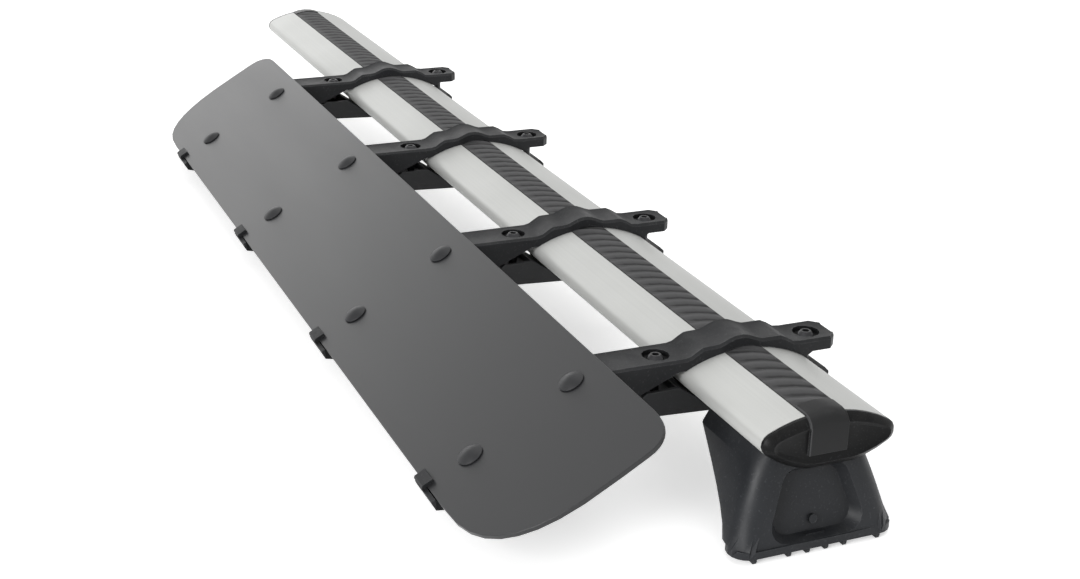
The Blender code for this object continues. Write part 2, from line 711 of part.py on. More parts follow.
def bracket_body():
    """The bracket from its rear arm over the bar and down the panel's back to the hook's plate."""
    wide = BRACKET_HALF_WIDTH
    edge = TOP_EDGE_ROUNDING
    stations = []
    rear_bottom = ARM_TOP - REAR_ARM_DEPTH
    for y, half_width in (
        (REAR_ARM_END, wide - REAR_CORNER),
        (REAR_ARM_END - REAR_CORNER, wide),
        (BAR_REAR + NOSE_ROOM, wide),
    ):
        stations.append(((y, ARM_TOP), (y, rear_bottom), half_width, edge))
    strip_edge = STRIP_WIDTH / 2
    over_strip = [strip_edge - strip_edge * step / STRIP_STEPS for step in range(STRIP_STEPS)]

    def over_bar(wrap):
        ys = [blend(wrap, strip_edge, step / STRAP_STEPS) for step in range(STRAP_STEPS)]
        return [*ys, strip_edge + STRAP_CLEARANCE, *over_strip]

    front_wrap = BAR_FRONT - STRAP_WRAP
    ys = [*over_bar(BAR_REAR - STRAP_WRAP), 0.0]
    ys += [-y for y in reversed(over_bar(front_wrap))]
    for y in ys:
        stations.append(((y, strap_top(y)), (y, strap_bottom(y)), wide, edge))
    nose_y = -(BAR_FRONT + NOSE_ROOM)
    nose_z = TOP.height(front_wrap, SEAT_GAP)
    heel = gusset_point(GUSSET_START)
    arm_end_depth = (PANEL_EDGE_Z - ARM_TOP + SEAT_GAP * math.sin(PANEL_TILT)) / math.cos(PANEL_TILT)
    arm_end = panel_point(-SEAT_GAP, arm_end_depth)
    for step in range(ARM_STEPS + 1):
        share = step / ARM_STEPS
        top = (blend(nose_y, arm_end[0], share), ARM_TOP)
        bottom = (blend(nose_y, heel[0], share), blend(nose_z, heel[1], share))
        stations.append((top, bottom, wide, edge))
    slim = LEG_HALF_WIDTH
    light = edge / 4
    stations.append((panel_point(-SEAT_GAP, PANEL_BACK), gusset_point(-GUSSET_START / 2), wide, light))
    for down in GUSSET_STATIONS:
        stations.append((panel_point(down, PANEL_BACK), gusset_point(down), slim, light))
    foot = PANEL_HEIGHT + 2 * SEAT_GAP
    toe = PANEL_HEIGHT + HOOK_REACH
    stations.append((panel_point(foot, PANEL_BACK), gusset_point(PANEL_HEIGHT), slim, light))
    behind = panel_point(toe, PANEL_BACK + HOOK_REACH)
    stations.append((panel_point(foot, 2 * SEAT_GAP), behind, wide, light))
    stations.append((panel_point(toe - SEAT_GAP, 2 * SEAT_GAP), panel_point(toe, PANEL_BACK), wide, light))
    return loft("bracket", [bracket_ring(*station) for station in stations])


def bracket_lip():
    """The half of the hook that laps over the panel's face."""
    foot = PANEL_HEIGHT + SEAT_GAP
    end = PANEL_HEIGHT + HOOK_REACH - 2 * SEAT_GAP
    start = PANEL_HEIGHT - HOOK_LIP_OVERLAP
    front = -HOOK_LIP_THICKNESS - SEAT_GAP
    corner = HOOK_LIP_THICKNESS / 2
    outline = [
        panel_point(foot, PANEL_BACK + SEAT_GAP),
        panel_point(end, PANEL_BACK + SEAT_GAP),
        panel_point(end, front + corner),
        panel_point(end - corner, front),
        panel_point(start + corner / 2, front),
        panel_point(start, front + corner / 2),
        panel_point(start, -SEAT_GAP),
        panel_point(foot, -SEAT_GAP),
    ]
    return prism("bracket_lip", [outline], -BRACKET_HALF_WIDTH + 2 * SEAT_GAP, 0.0)


def bolt_hole(y, radius, low, high):
    return prism("hole", [circle(radius, BOLT_STEPS, (0.0, y))], low, high, "Z")


def panel_hole(down, radius, depth):
    """A hole square to the panel, from its front to this depth."""
    hole = prism("hole", [circle(radius, SCREW_STEPS)], -depth, PANEL_THICKNESS, "Z")
    turn = Matrix.Rotation(PANEL_TILT, 4, "X")
    y, z = panel_point(down, 0.0)
    return moved(hole, Matrix.Translation((0.0, y, z)) @ turn)


def bracket_pockets():
    """The open pockets in the bracket's underside, between its walls, bosses and cross ribs."""
    wall = BRACKET_WALL
    boss = BOSS_RADIUS
    floor = PANEL_BACK + wall
    below = floor + 2 * GUSSET_DEPTH
    bolt_side = -BOLT_SPAN / 2 - COUNTERBORE_RADIUS - wall / 2
    arm_roof = BOLT_SEAT_Z
    slope_y = PANEL_EDGE_Y + (arm_roof - PANEL_EDGE_Z) / math.tan(PANEL_TILT) + floor / math.sin(PANEL_TILT)
    upper = [
        (bolt_side, arm_roof),
        (slope_y, arm_roof),
        panel_point(FIX_UPPER - boss - wall / 2, floor),
        panel_point(FIX_UPPER - boss - wall / 2, below),
        (bolt_side, -GUSSET_DEPTH),
    ]
    pockets = [prism("pocket", [upper], -BRACKET_HALF_WIDTH + wall, BRACKET_HALF_WIDTH - wall)]
    middle = (FIX_UPPER + FIX_LOWER) / 2
    spans = [
        (FIX_UPPER + boss, middle - wall / 2),
        (middle + wall / 2, FIX_LOWER - boss),
        (FIX_LOWER + boss, PANEL_HEIGHT - wall),
    ]
    half = LEG_HALF_WIDTH - wall
    for start, end in spans:
        outline = [
            panel_point(start, floor),
            panel_point(end, floor),
            panel_point(end, below),
            panel_point(start, below),
        ]
        pockets.append(prism("pocket", [outline], -half, half))
    return pockets


def bracket_mesh():
    """The moulded bracket. Its origin is on the bar's middle line."""
    cuts = bracket_pockets()
    tall = ARM_TOP + SHOULDER_RISE
    for side in (-1, 1):
        y = side * BOLT_SPAN / 2
        cuts.append(bolt_hole(y, COUNTERBORE_RADIUS, BOLT_SEAT_Z, tall))
        cuts.append(bolt_hole(y, BOLT_RADIUS + HOLE_CLEARANCE, -tall, tall))
    hole = SCREW_RADIUS + HOLE_CLEARANCE
    for down in (FIX_UPPER, FIX_LOWER):
        cuts.append(panel_hole(down, hole, SCREW_LENGTH + PANEL_THICKNESS))
    return combined("bracket", bracket_body(), [bracket_lip()], cuts)


def jaw_mesh():
    """The moulded jaw under the bar: an open channel in front and a lug behind, over the nuts."""
    bolt_y = BOLT_SPAN / 2
    bottom = NUT_SEAT_Z - NUT_HEIGHT - JAW_WALL
    belly = BOTTOM.height(0.0, JAW_SEAT_OFFSET) - JAW_BELLY
    nose_middle = (-JAW_NOSE + JAW_NOSE_RADIUS, JAW_RIM - JAW_NOSE_RADIUS)
    outline = [(-bolt_y - NUT_FLATS / 2, bottom)]
    for degrees in JAW_NOSE_TURN:
        angle = math.radians(degrees)
        out = (JAW_NOSE_RADIUS * math.cos(angle), JAW_NOSE_RADIUS * math.sin(angle))
        outline.append((nose_middle[0] + out[0], nose_middle[1] + out[1]))
    outline.append((-BAR_FRONT - JAW_SEAT_OFFSET, JAW_RIM))
    front, rear = JAW_CRADLE_FRONT, JAW_CRADLE_REAR
    outline += BOTTOM.run(-front, rear, JAW_CRADLE_STEPS, JAW_SEAT_OFFSET)
    outline += [(BAR_REAR + SEAT_GAP, JAW_LUG_TOP - SEAT_GAP), (BAR_REAR + JAW_WALL / 2, JAW_LUG_TOP)]
    outline += [(JAW_TAIL - JAW_WALL, JAW_LUG_TOP), (JAW_TAIL, JAW_LUG_TOP - JAW_WALL)]
    outline += [(JAW_TAIL, bottom + JAW_WALL), (bolt_y, bottom)]
    outline += [(JAW_POCKET_START, belly), (-JAW_POCKET_START, belly)]
    body = prism("clamp_jaw", [outline], -JAW_HALF_WIDTH, JAW_HALF_WIDTH)
    cuts = []
    inner = JAW_HALF_WIDTH - JAW_WALL
    deep = 2 * belly
    for side in (-1, 1):
        y = side * bolt_y
        cuts.append(bolt_hole(y, BOLT_RADIUS + HOLE_CLEARANCE, deep, BAR_TOP_RISE))
        nut = hexagon(NUT_FLATS + 2 * HOLE_CLEARANCE, (0.0, y))
        cuts.append(prism("nut_pocket", [nut], deep, NUT_SEAT_Z, "Z"))
        start = side * JAW_POCKET_START
        end = side * JAW_POCKET_END
        roof = JAW_SEAT_OFFSET + JAW_WALL
        lightening = [
            (start, BOTTOM.height(start, roof)),
            (end, BOTTOM.height(end, roof)),
            (end, deep),
            (start, deep),
        ]
        cuts.append(prism("pocket", [lightening], -inner, inner))
    channel = [
        (-JAW_NOSE + JAW_NOSE_RADIUS, JAW_SEAT_TOP),
        (-BAR_FRONT - JAW_WALL, JAW_SEAT_TOP),
        (-BAR_FRONT - JAW_WALL, BAR_TOP_RISE),
        (-JAW_NOSE + JAW_NOSE_RADIUS, BAR_TOP_RISE),
    ]
    cuts.append(prism("channel", [channel], -inner, inner))
    return combined("clamp_jaw", body, (), cuts)


def pad_mesh():
    """A thin pad that follows the bar's underside."""
    inner = BOTTOM.run(-PAD_REACH, PAD_REACH, PAD_STEPS, SEAT_GAP)
    outer = BOTTOM.run(PAD_REACH, -PAD_REACH, PAD_STEPS, SEAT_GAP + PAD_THICKNESS)
    return prism("jaw_pad", [inner + outer], -PAD_HALF_WIDTH, PAD_HALF_WIDTH)


def socket_screw(name, radius, length, head_radius, head_height, dome, flats):
    """A screw that points down -Z with its head on z = 0 and a hexagon socket in it."""
    profile = [
        (0, head_height),
        (head_radius * BOLT_HEAD_FLAT, head_height),
        (head_radius, head_height * (1 - dome)),
        (head_radius, 0.0),
        (radius, 0.0),
        (radius, -length + BOLT_TIP_CHAMFER),
        (radius - BOLT_TIP_CHAMFER, -length),
        (0, -length),
    ]
    body = revolve(name, profile, BOLT_STEPS)
    socket = prism("socket", [hexagon(flats)], head_height - BOLT_SOCKET_DEPTH, 2 * head_height, "Z")
    return combined(name, body, (), [socket])


def nut_mesh():
    """A hexagon nut below z = 0."""
    hole = circle(BOLT_RADIUS + HOLE_CLEARANCE, BOLT_STEPS)
    return prism("clamp_nut", [hexagon(NUT_FLATS), hole], -NUT_HEIGHT, 0.0, "Z")


def leg_height_share(z):
    return (z - SKIRT_HEIGHT) / (LEG_TOP_Z - SKIRT_HEIGHT)


def leg_face(z):
    """X of the leg's outer face, which leans back as it rises."""
    return SOLE_LENGTH / 2 - LEG_FACE_LEAN * leg_height_share(z)


def leg_back(z):
    """X of the leg's inner side: upright at the foot and the top, with a hollow sweep between."""
    reach = LEG_TOP_LENGTH - leg_face(LEG_SHOULDER_HEIGHT) - SOLE_LENGTH / 2
    share = (z - SOLE_STEP_HEIGHT) / (LEG_SHOULDER_HEIGHT - SOLE_STEP_HEIGHT)
    return -SOLE_LENGTH / 2 - reach * min(max(share, 0.0), 1.0) ** LEG_SWEEP_POWER


def leg_half(z):
    """Half of the leg's width at this height: it flares to the sole."""
    flare = (1 - leg_height_share(z)) ** LEG_FLARE_POWER
    return blend(LEG_TOP_WIDTH, SOLE_WIDTH, flare) / 2


def rounded_rectangle(x_low, x_high, half, low_radius, high_radius, low_steps, high_steps):
    """(x, y) round a rectangle whose corners at each end have their own radius."""
    points = []
    for x, y, radius, steps, start in (
        (x_high, half, high_radius, high_steps, 0),
        (x_low, half, low_radius, low_steps, 90),
        (x_low, -half, low_radius, low_steps, 180),
        (x_high, -half, high_radius, high_steps, 270),
    ):
        middle_x = x - math.copysign(radius, x - (x_low + x_high) / 2)
        middle_y = y - math.copysign(radius, y)
        for step in range(steps + 1):
            angle = math.radians(start + 90 * step / steps)
            points.append((middle_x + radius * math.cos(angle), middle_y + radius * math.sin(angle)))
    return points


def leg_section(z, inset=0.0, back=0.0, front=0.0, corners=None):
    """(x, y, z) round the leg at this height, drawn in on its sides, its back and its front."""
    level = max(z, SKIRT_HEIGHT)
    if corners is None:
        corner = blend(LEG_FOOT_CORNER, LEG_NECK_CORNER, leg_height_share(level))
        corners = (corner - inset, LEG_CORNER_RADIUS - inset)
    ends = (leg_back(level) + back, leg_face(level) - front)
    outline = rounded_rectangle(*ends, leg_half(level) - inset, *corners, 4, 5)
    return [(x, y, z) for x, y in outline]


def leg_shell():
    """The leg's outer form, before the bar's saddle is cut from its top."""
    step = SOLE_STEP_HEIGHT
    rings = [leg_section(SKIRT_HEIGHT, SOLE_STEP / 4, SOLE_STEP)]
    rings.append([(x, y, step) for x, y, _ in rings[0]])
    for level in range(LEG_LEVELS + 1):
        rings.append(leg_section(blend(step, LEG_SHOULDER_HEIGHT, level / LEG_LEVELS)))
    rings.append(leg_section(LEG_TOP_Z))
    return loft("leg", rings)


def saddle(grow, name):
    """The bar's form over the leg, grown outwards."""
    over = 2 * LEG_TOP_LENGTH
    body = prism(name, [lens(grow)], -over, over)
    return moved(body, Matrix.Translation((0.0, 0.0, BAR_AXIS_HEIGHT)))


def leg_cavity():
    """The space inside the leg, open at the sole, with a roof under the bar."""
    shares = [level / LEG_LEVELS for level in range(LEG_LEVELS + 1)]
    heights = [blend(SOLE_STEP_HEIGHT, LEG_SHOULDER_HEIGHT, share) for share in shares]
    inward = (LEG_WALL, LEG_BACK_WALL, LEG_FACE_WALL, LEG_CAVITY_CORNERS)
    rings = [leg_section(z, *inward) for z in (-SKIRT_HEIGHT, *heights, LEG_TOP_Z)]
    return combined("leg_cavity", loft("leg_cavity", rings), (), [saddle(LEG_ROOF, "leg_roof")])


def leg_ribs():
    """The ribs along X, whose lower edges stand below the skirt as the sole."""
    roof = BAR_AXIS_HEIGHT - BAR_BOTTOM_DROP - LEG_ROOF
    lap = LEG_WALL / 4
    wall = FACE_WALL_LAP
    toe = SKIRT_HEIGHT + LEG_WALL
    front = [
        (leg_face(SKIRT_HEIGHT) - lap, toe),
        (leg_face(SKIRT_HEIGHT) - lap, SKIRT_HEIGHT / 2),
        (leg_face(SKIRT_HEIGHT) - lap * 2, 0.0),
        (leg_back(0.0) + LEG_WALL, 0.0),
        (leg_back(0.0) + SOLE_STEP + lap, SKIRT_HEIGHT),
    ]
    levels = [blend(SOLE_STEP_HEIGHT, roof, level / LEG_LEVELS) for level in range(1, LEG_LEVELS + 1)]
    tall = [(leg_face(toe) - wall, toe), *front]
    tall += [(leg_back(z) + LEG_WALL, z) for z in levels]
    tall += [(leg_back(roof) + LEG_WALL, roof + lap), (leg_face(roof) - wall, roof + lap)]
    low = [*front, (leg_back(0.0) + SOLE_STEP + lap, toe)]
    ribs = []
    half = RIB_THICKNESS / 2
    for offset in RIB_OFFSETS:
        outline = tall if offset < LEG_TOP_WIDTH / 2 else low
        for side in (-1, 1):
            middle = side * offset
            ribs.append(prism("leg_rib", [outline], middle - half, middle + half, "Y"))
    return ribs


def leg_land():
    """The flat land between the middle ribs, in the middle of the sole."""
    half = RIB_OFFSETS[0]
    end = LAND_LENGTH / 2
    outline = [(-end, -half), (end, -half), (end, half), (-end, half)]
    return prism("leg_land", [outline], 0.0, LAND_HEIGHT, "Z")


def leg_face_frame():
    """The place of the leg's outer face: local X out of it and local Z up it, from the skirt."""
    lean = math.atan2(LEG_FACE_LEAN, LEG_TOP_Z - SKIRT_HEIGHT)
    return Matrix.Translation((leg_face(0.0), 0.0, 0.0)) @ Matrix.Rotation(-lean, 4, "Y")


def leg_recess():
    """The rounded recess in the outer face, which narrows upwards and inwards."""
    corners = [
        (-RECESS_BOTTOM_HALF, RECESS_BOTTOM),
        (RECESS_BOTTOM_HALF, RECESS_BOTTOM),
        (RECESS_TOP_HALF, RECESS_TOP),
        (-RECESS_TOP_HALF, RECESS_TOP),
    ]
    outline = rounded_polygon(corners, RECESS_CORNER, 4)
    middle_z = (RECESS_BOTTOM + RECESS_TOP) / 2
    draft = 1 - RECESS_DEPTH / 2 / RECESS_TOP_HALF
    inner = [(y * draft, middle_z + (z - middle_z) * draft) for y, z in outline]
    outside = [(y * (2 - draft), middle_z + (z - middle_z) * (2 - draft)) for y, z in outline]
    depth = RECESS_DEPTH
    rings = [[(x, y, z) for y, z in points] for x, points in ((-depth, inner), (depth, outside))]
    return moved(loft("recess", rings), leg_face_frame())


def leg_boss():
    """The small round boss low on the recess's floor."""
    height = RECESS_BOTTOM + RECESS_CORNER
    outline = circle(RECESS_BOSS_RADIUS, BOLT_STEPS, (0.0, height))
    boss = prism("leg_boss", [outline], -RECESS_DEPTH - LEG_WALL / 2, -RECESS_DEPTH + RECESS_BOSS_HEIGHT)
    return moved(boss, leg_face_frame())


def leg_mesh():
    """The moulded leg under the near end of the bar."""
    roof = BAR_AXIS_HEIGHT - BAR_BOTTOM_DROP - LEG_ROOF
    first = combined("leg", leg_shell(), (), [saddle(SEAT_GAP, "leg_saddle"), leg_cavity(), leg_recess()])
    ribbed = combined("leg", first, [*leg_ribs(), leg_land(), leg_boss()])
    cuts = []
    for x in LEG_BOLT_XS:
        access = circle(LEG_BOLT_ACCESS_RADIUS, 2 * BOLT_STEPS, (x, 0.0))
        hole = circle(LEG_BOLT_RADIUS + HOLE_CLEARANCE, BOLT_STEPS, (x, 0.0))
        cuts.append(prism("access", [access], -SKIRT_HEIGHT, roof, "Z"))
        cuts.append(prism("hole", [hole], 0.0, BAR_AXIS_HEIGHT, "Z"))
    return combined("leg", ribbed, (), cuts)


def plate_mesh():
    """The threaded plate in the bar's bottom slot, with its holes over the leg's bolts."""
    middle = sum(LEG_BOLT_XS) / len(LEG_BOLT_XS)
    half_length = PLATE_LENGTH / 2
    half_width = SLOT_INNER_WIDTH / 2 - SEAT_GAP
    outline = [
        (middle - half_length, -half_width),
        (middle + half_length, -half_width),
        (middle + half_length, half_width),
        (middle - half_length, half_width),
    ]
    holes = [circle(LEG_BOLT_RADIUS + HOLE_CLEARANCE, BOLT_STEPS, (x, 0.0)) for x in LEG_BOLT_XS]
    return prism("leg_channel_plate", [outline, *holes], 0.0, PLATE_THICKNESS, "Z")


def build_fairing(bar_frame):
    """The panel with its screws and caps, in a frame that lies in the panel's face."""
    colour = (0.075, 0.078, 0.082)
    panel_paint = plain_material("panel_plastic", colour, 0.42)
    cap_paint = plain_material("panel_cap_plastic", colour, 0.45)
    steel = plain_material("panel_screw_steel", (0.32, 0.32, 0.33), 0.4, 1.0)
    middle = BRACKET_MIDDLE_X + PANEL_SHIFT
    fixings = [(x - middle, down) for x in BRACKET_XS for down in (FIX_UPPER, FIX_LOWER)]
    place = (middle, PANEL_EDGE_Y, PANEL_EDGE_Z)
    frame = empty("panel_frame", place, bar_frame, (PANEL_TILT, 0.0, 0.0))
    add("fairing_panel", panel_mesh(fixings), panel_paint, frame)
    screw = screw_mesh()
    dome = dome_mesh()
    for index, (x, down) in enumerate(fixings):
        row = "upper" if down == FIX_UPPER else "lower"
        name = f"{row}_{index // 2 + 1}"
        add(f"panel_screw_{name}", screw, steel, frame, (x, -down, SEAT_GAP))
        add(f"panel_cap_{name}", dome, cap_paint, frame, (x, -down, SEAT_GAP))


def build_clamps(bar_frame):
    """Each bracket with its jaw, pad, bolts and nuts, in a frame on the bar's middle line."""
    bracket_paint = plain_material("bracket_plastic", (0.030, 0.031, 0.033), 0.5)
    jaw_paint = plain_material("jaw_plastic", (0.022, 0.022, 0.024), 0.55)
    rubber = plain_material("pad_rubber", (0.015, 0.015, 0.015), 0.8)
    steel = plain_material("clamp_bolt_steel", (0.030, 0.030, 0.032), 0.35, 0.6)
    bracket = bracket_mesh()
    jaw = jaw_mesh()
    pad = pad_mesh()
    bolt_sizes = (BOLT_RADIUS, BOLT_LENGTH, BOLT_HEAD_RADIUS, BOLT_HEAD_HEIGHT)
    bolt = socket_screw("clamp_bolt", *bolt_sizes, 0.7, BOLT_SOCKET_FLATS)
    nut = nut_mesh()
    for number, x in enumerate(BRACKET_XS, start=1):
        frame = empty(f"clamp_frame_{number}", (x, 0.0, 0.0), bar_frame)
        add(f"bracket_{number}", bracket, bracket_paint, frame)
        add(f"clamp_jaw_{number}", jaw, jaw_paint, frame)
        add(f"jaw_pad_{number}", pad, rubber, frame)
        for side, name in ((-1, "front"), (1, "rear")):
            y = side * BOLT_SPAN / 2
            add(f"clamp_bolt_{name}_{number}", bolt, steel, frame, (0.0, y, BOLT_SEAT_Z + SEAT_GAP))
            add(f"clamp_nut_{name}_{number}", nut, steel, frame, (0.0, y, NUT_SEAT_Z - SEAT_GAP))


def build_bar(bar_frame):
    """The crossbar with its strip and end caps."""
    aluminium = plain_material("bar_aluminium", (0.62, 0.62, 0.60), 0.38, 0.9)
    rubber = plain_material("strip_rubber", (0.035, 0.035, 0.037), 0.6)
    cap_paint = plain_material("end_cap_plastic", (0.020, 0.020, 0.021), 0.4)
    bar = prism("crossbar", bar_section(), BAR_START_X, BAR_END_X)
    add("crossbar", bar, aluminium, bar_frame)
    tab_room = CAP_TAB_REACH + SEAT_GAP
    strip = strip_mesh(BAR_START_X + tab_room, BAR_END_X - tab_room)
    add("rubber_strip", strip, rubber, bar_frame)
    cap = end_cap_mesh()
    other_hand = cap.copy()
    other_hand.transform(Matrix.Diagonal((-1.0, 1.0, 1.0, 1.0)))
    other_hand.flip_normals()
    add("end_cap_near", cap, cap_paint, bar_frame, (BAR_END_X, 0.0, 0.0))
    add("end_cap_far", other_hand, cap_paint, bar_frame, (BAR_START_X, 0.0, 0.0))


def build_leg(leg_frame):
    """The leg and the bolts and plate that hold the bar on it."""
    leg_paint = plain_material("leg_plastic", (0.030, 0.032, 0.035), 0.5)
    steel = plain_material("leg_bolt_steel", (0.32, 0.32, 0.33), 0.35, 1.0)
    add("leg", leg_mesh(), leg_paint, leg_frame)
    lip_top = BAR_AXIS_HEIGHT + BOTTOM.height(SLOT_WIDTH / 2) + SLOT_LIP
    plate_z = lip_top + SEAT_GAP
    add("leg_channel_plate", plate_mesh(), steel, leg_frame, (0.0, 0.0, plate_z))
    roof = BAR_AXIS_HEIGHT - BAR_BOTTOM_DROP - LEG_ROOF
    head_z = roof - SEAT_GAP
    length = plate_z + PLATE_THICKNESS - head_z
    sizes = (LEG_BOLT_RADIUS, length, LEG_BOLT_HEAD_RADIUS, LEG_BOLT_HEAD_HEIGHT)
    bolt = socket_screw("leg_bolt", *sizes, 0.1, BOLT_SOCKET_FLATS)
    for name, x in zip(("inner", "outer"), LEG_BOLT_XS):
        add(f"leg_bolt_{name}", bolt, steel, leg_frame, (x, 0.0, head_z), (math.pi, 0.0, 0.0))


def main():
    for left in list(bpy.data.objects):
        bpy.data.objects.remove(left)
    leg_frame = empty("leg_frame", (0.0, 0.0, 0.0))
    bar_frame = empty("bar_frame", (0.0, 0.0, BAR_AXIS_HEIGHT), leg_frame)
    build_bar(bar_frame)
    build_leg(leg_frame)
    build_clamps(bar_frame)
    build_fairing(bar_frame)


main()
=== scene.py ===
"""Looks of the roof rack wind fairing.

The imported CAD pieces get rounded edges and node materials, and stand in a plain studio.
"""

import math

import bpy
from mathutils import Matrix, Vector

# Camera, as solved from the photograph.
CAMERA_PLACE = (0.6841, -0.4669, 0.4761)
CAMERA_YAW = math.radians(66.3617)
CAMERA_PITCH = math.radians(21.9118)
CAMERA_ROLL = math.radians(1.4242)
CAMERA_LENS = 55.0
CAMERA_SENSOR = 36.0

# Lamps: name, place, target, size and power.
LAMPS = (
    ("overhead", (-0.7, 0.5, 2.3), (-0.45, 0.0, 0.0), (2.6, 1.8), 16.0),
    ("beyond_far_end", (-3.0, -0.55, 0.80), (-0.7, -0.12, 0.05), (2.4, 0.9), 10.0),
    ("front_fill", (1.0, -2.0, 1.1), (0.0, 0.0, 0.03), (0.9, 1.2), 30.0),
    ("low_front", (0.5, -1.1, 0.25), (0.0, -0.04, 0.03), (0.25, 0.5), 4.5),
)

# World and floor: the light that they give or send back, and what the camera sees of them.
WHITE = (1.0, 1.0, 1.0, 1.0)
WORLD_LIGHT = 0.56
WORLD_SHOWN = 1.0
FLOOR_COLOUR = (0.92, 0.92, 0.92, 1.0)
FLOOR_ROUGHNESS = 0.9
FLOOR_SPECULAR = 0.1
FLOOR_GLOW = 0.50
FLOOR_RADIUS = 9.0
FLOOR_CENTRE = (-0.4, 0.0, -0.0002)
FLOOR_CORNERS = 64

# Mesh modifiers, with angles in degrees and lengths in metres.
MILLIMETRE = 0.001
WELD_DISTANCE = 1e-6
MOULDED_SHARP_ANGLE = 30.0
RIBBED_SHARP_ANGLE = 6.0
MERGE_ANGLE = 0.6
BEVEL_ANGLE = 28.0
BEVEL_SEGMENTS = 2

# Samples of the shader nodes that look round a point.
EDGE_SAMPLES = 4
HOLLOW_SAMPLES = 6

# How far the normal agrees with its rounded self, on a flat face and on an edge, and its Z where
# a surface begins to face up and where it does so fully.
EDGE_COSINES = (0.98, 0.80)
UPWARD_RISES = (0.25, 0.95)

# The strip's ribs and the end caps' tabs as the CAD lays them out, in metres.
STRIP_HALF = 0.012
TAB_FOOT_Z = 0.0622
FIRST_VALLEY = -1.0143
RIB_PITCH = 0.0125075
RIB_SLANT = 0.0094
RIB_BOW = 0.0016

# A rib's profile, in shares of the pitch from one valley to the next, for the painted shade in the
# valleys and the painted highlight on the crests, and where across the strip the valleys fade in, from
# -1 at its front edge to 1 at its rear edge.
BEFORE_VALLEY = (0.76, 0.97)
PAST_VALLEY = (0.22, 0.08)
CREST_RISE = (0.24, 0.34)
CREST_FALL = (0.66, 0.36)
VALLEY_FADE_IN = (-0.98, -0.60)

# Sizes and depths of the patterns, the painted shade and the painted highlights in the materials, in
# metres.
PLASTIC_DRIFT = 0.045
PLASTIC_SCUFFS = 0.018
DUST_PATCHES = 0.012
WEAR_PATCHES = 0.006
WORN_AND_HIGHLIT_EDGE = 0.6 * MILLIMETRE
HOLLOW_SHADE_REACH = 0.006
TAB_HIGHLIGHT_LINE = (0.9 * MILLIMETRE, 0.3 * MILLIMETRE)
SHEET_DRIFT = 0.25
SHEET_WIPES = 0.05
SHEET_SPECKS = 2.6 * MILLIMETRE
SHEET_SPECK_PATCHES = 0.02
SHEET_GRAIN = 0.9 * MILLIMETRE
SHEET_GRAIN_DEPTH = 0.008 * MILLIMETRE
SHEET_WORN_AND_HIGHLIT_EDGE = 0.5 * MILLIMETRE
RUBBER_BLOOM = 0.02
RUBBER_GRAIN = 0.5 * MILLIMETRE
RUBBER_GRAIN_DEPTH = 0.03 * MILLIMETRE
RUBBER_WORN_EDGE = 0.5 * MILLIMETRE
VALLEY_DEPTH = 1.0 * MILLIMETRE
ALUMINIUM_CLOUDS = 0.12
ALUMINIUM_HANDLING = 0.05
ALUMINIUM_SKIN = 0.7 * MILLIMETRE
ALUMINIUM_SKIN_DEPTH = 0.01 * MILLIMETRE
DIE_LINE_DEPTH = 0.02 * MILLIMETRE
STEEL_PATCHES = 0.006
STEEL_WEAR = 0.003
STEEL_MARKS = 0.35 * MILLIMETRE
STEEL_MARK_DEPTH = 0.01 * MILLIMETRE
STEEL_WORN_EDGE = 0.4 * MILLIMETRE

# Proportions of the patterns: speckles against the grain, and stretched patterns by axis.
SPECKLES_PER_GRAIN = 1.6
WIPE_SCALE = (0.2, 1.0, 1.0)
DIE_LINE_SCALE = (2.0, 700.0, 700.0)

# How strongly the patterns, the painted shade and the painted highlights show, from 0 to 1.
SPECKLE_SHARE = 0.22
DUST_SHARE = 0.10
HOLLOW_SHADE_SHARE = 0.85
TAB_HIGHLIGHT_SHARE = 0.6
SHEET_SPECK_SHARE = 0.05
SHEET_WEAR_AND_HIGHLIGHT_SHARE = 0.45
RUBBER_WEAR_SHARE = 0.35
CREST_HIGHLIGHT_SHARE = 0.50
VALLEY_SHADE_SHARE = 0.95
DIE_LINE_SHARE = 0.12

# Brightness of a pattern's colour, or of a painted shade or highlight, against one of its material's
# own colours.
HOLLOW_SHADE_TO_DARK = 0.25
TAB_HIGHLIGHT_TO_EDGE = 0.24
WORN_RUBBER_TO_LIGHT = 2.0
CREST_HIGHLIGHT_TO_LIGHT = 2.0
VALLEY_SHADE_TO_DARK = 0.12
DIE_LINE_TO_BASE = 0.72
STEEL_PATCH_TO_BASE = 1.35

# Finishes that a whole kind of material shares.
RUBBER_SPECULAR = 0.3
ALUMINIUM_METALLIC = 0.25
ALUMINIUM_SPECULAR = 0.2

# Colours of what lies on the plastics.
DUST = (0.16, 0.155, 0.145)
SPECKS = (0.30, 0.30, 0.29)

# How each CAD node looks: the start of its name, its look and its edge rounding in millimetres.
NODE_LOOKS = (
    ("fairing_panel", "panel", 0.45),
    ("panel_cap", "cap", 0.35),
    ("panel_screw", "steel", 0.15),
    ("bracket", "bracket", 0.45),
    ("clamp_jaw", "jaw", 0.45),
    ("jaw_pad", "pad", 0.20),
    ("clamp_bolt", "bolt", 0.20),
    ("clamp_nut", "bolt", 0.20),
    ("crossbar", "bar", 0.25),
    ("rubber_strip", "strip", 0.0),
    ("end_cap", "end_cap", 0.35),
    ("leg_channel_plate", "steel", 0.20),
    ("leg_bolt", "steel", 0.20),
    ("leg", "leg", 0.50),
)


# Geometry: the CAD meshes arrive as loose triangles. Modifiers weld them, merge their flat faces
# and round their edges.

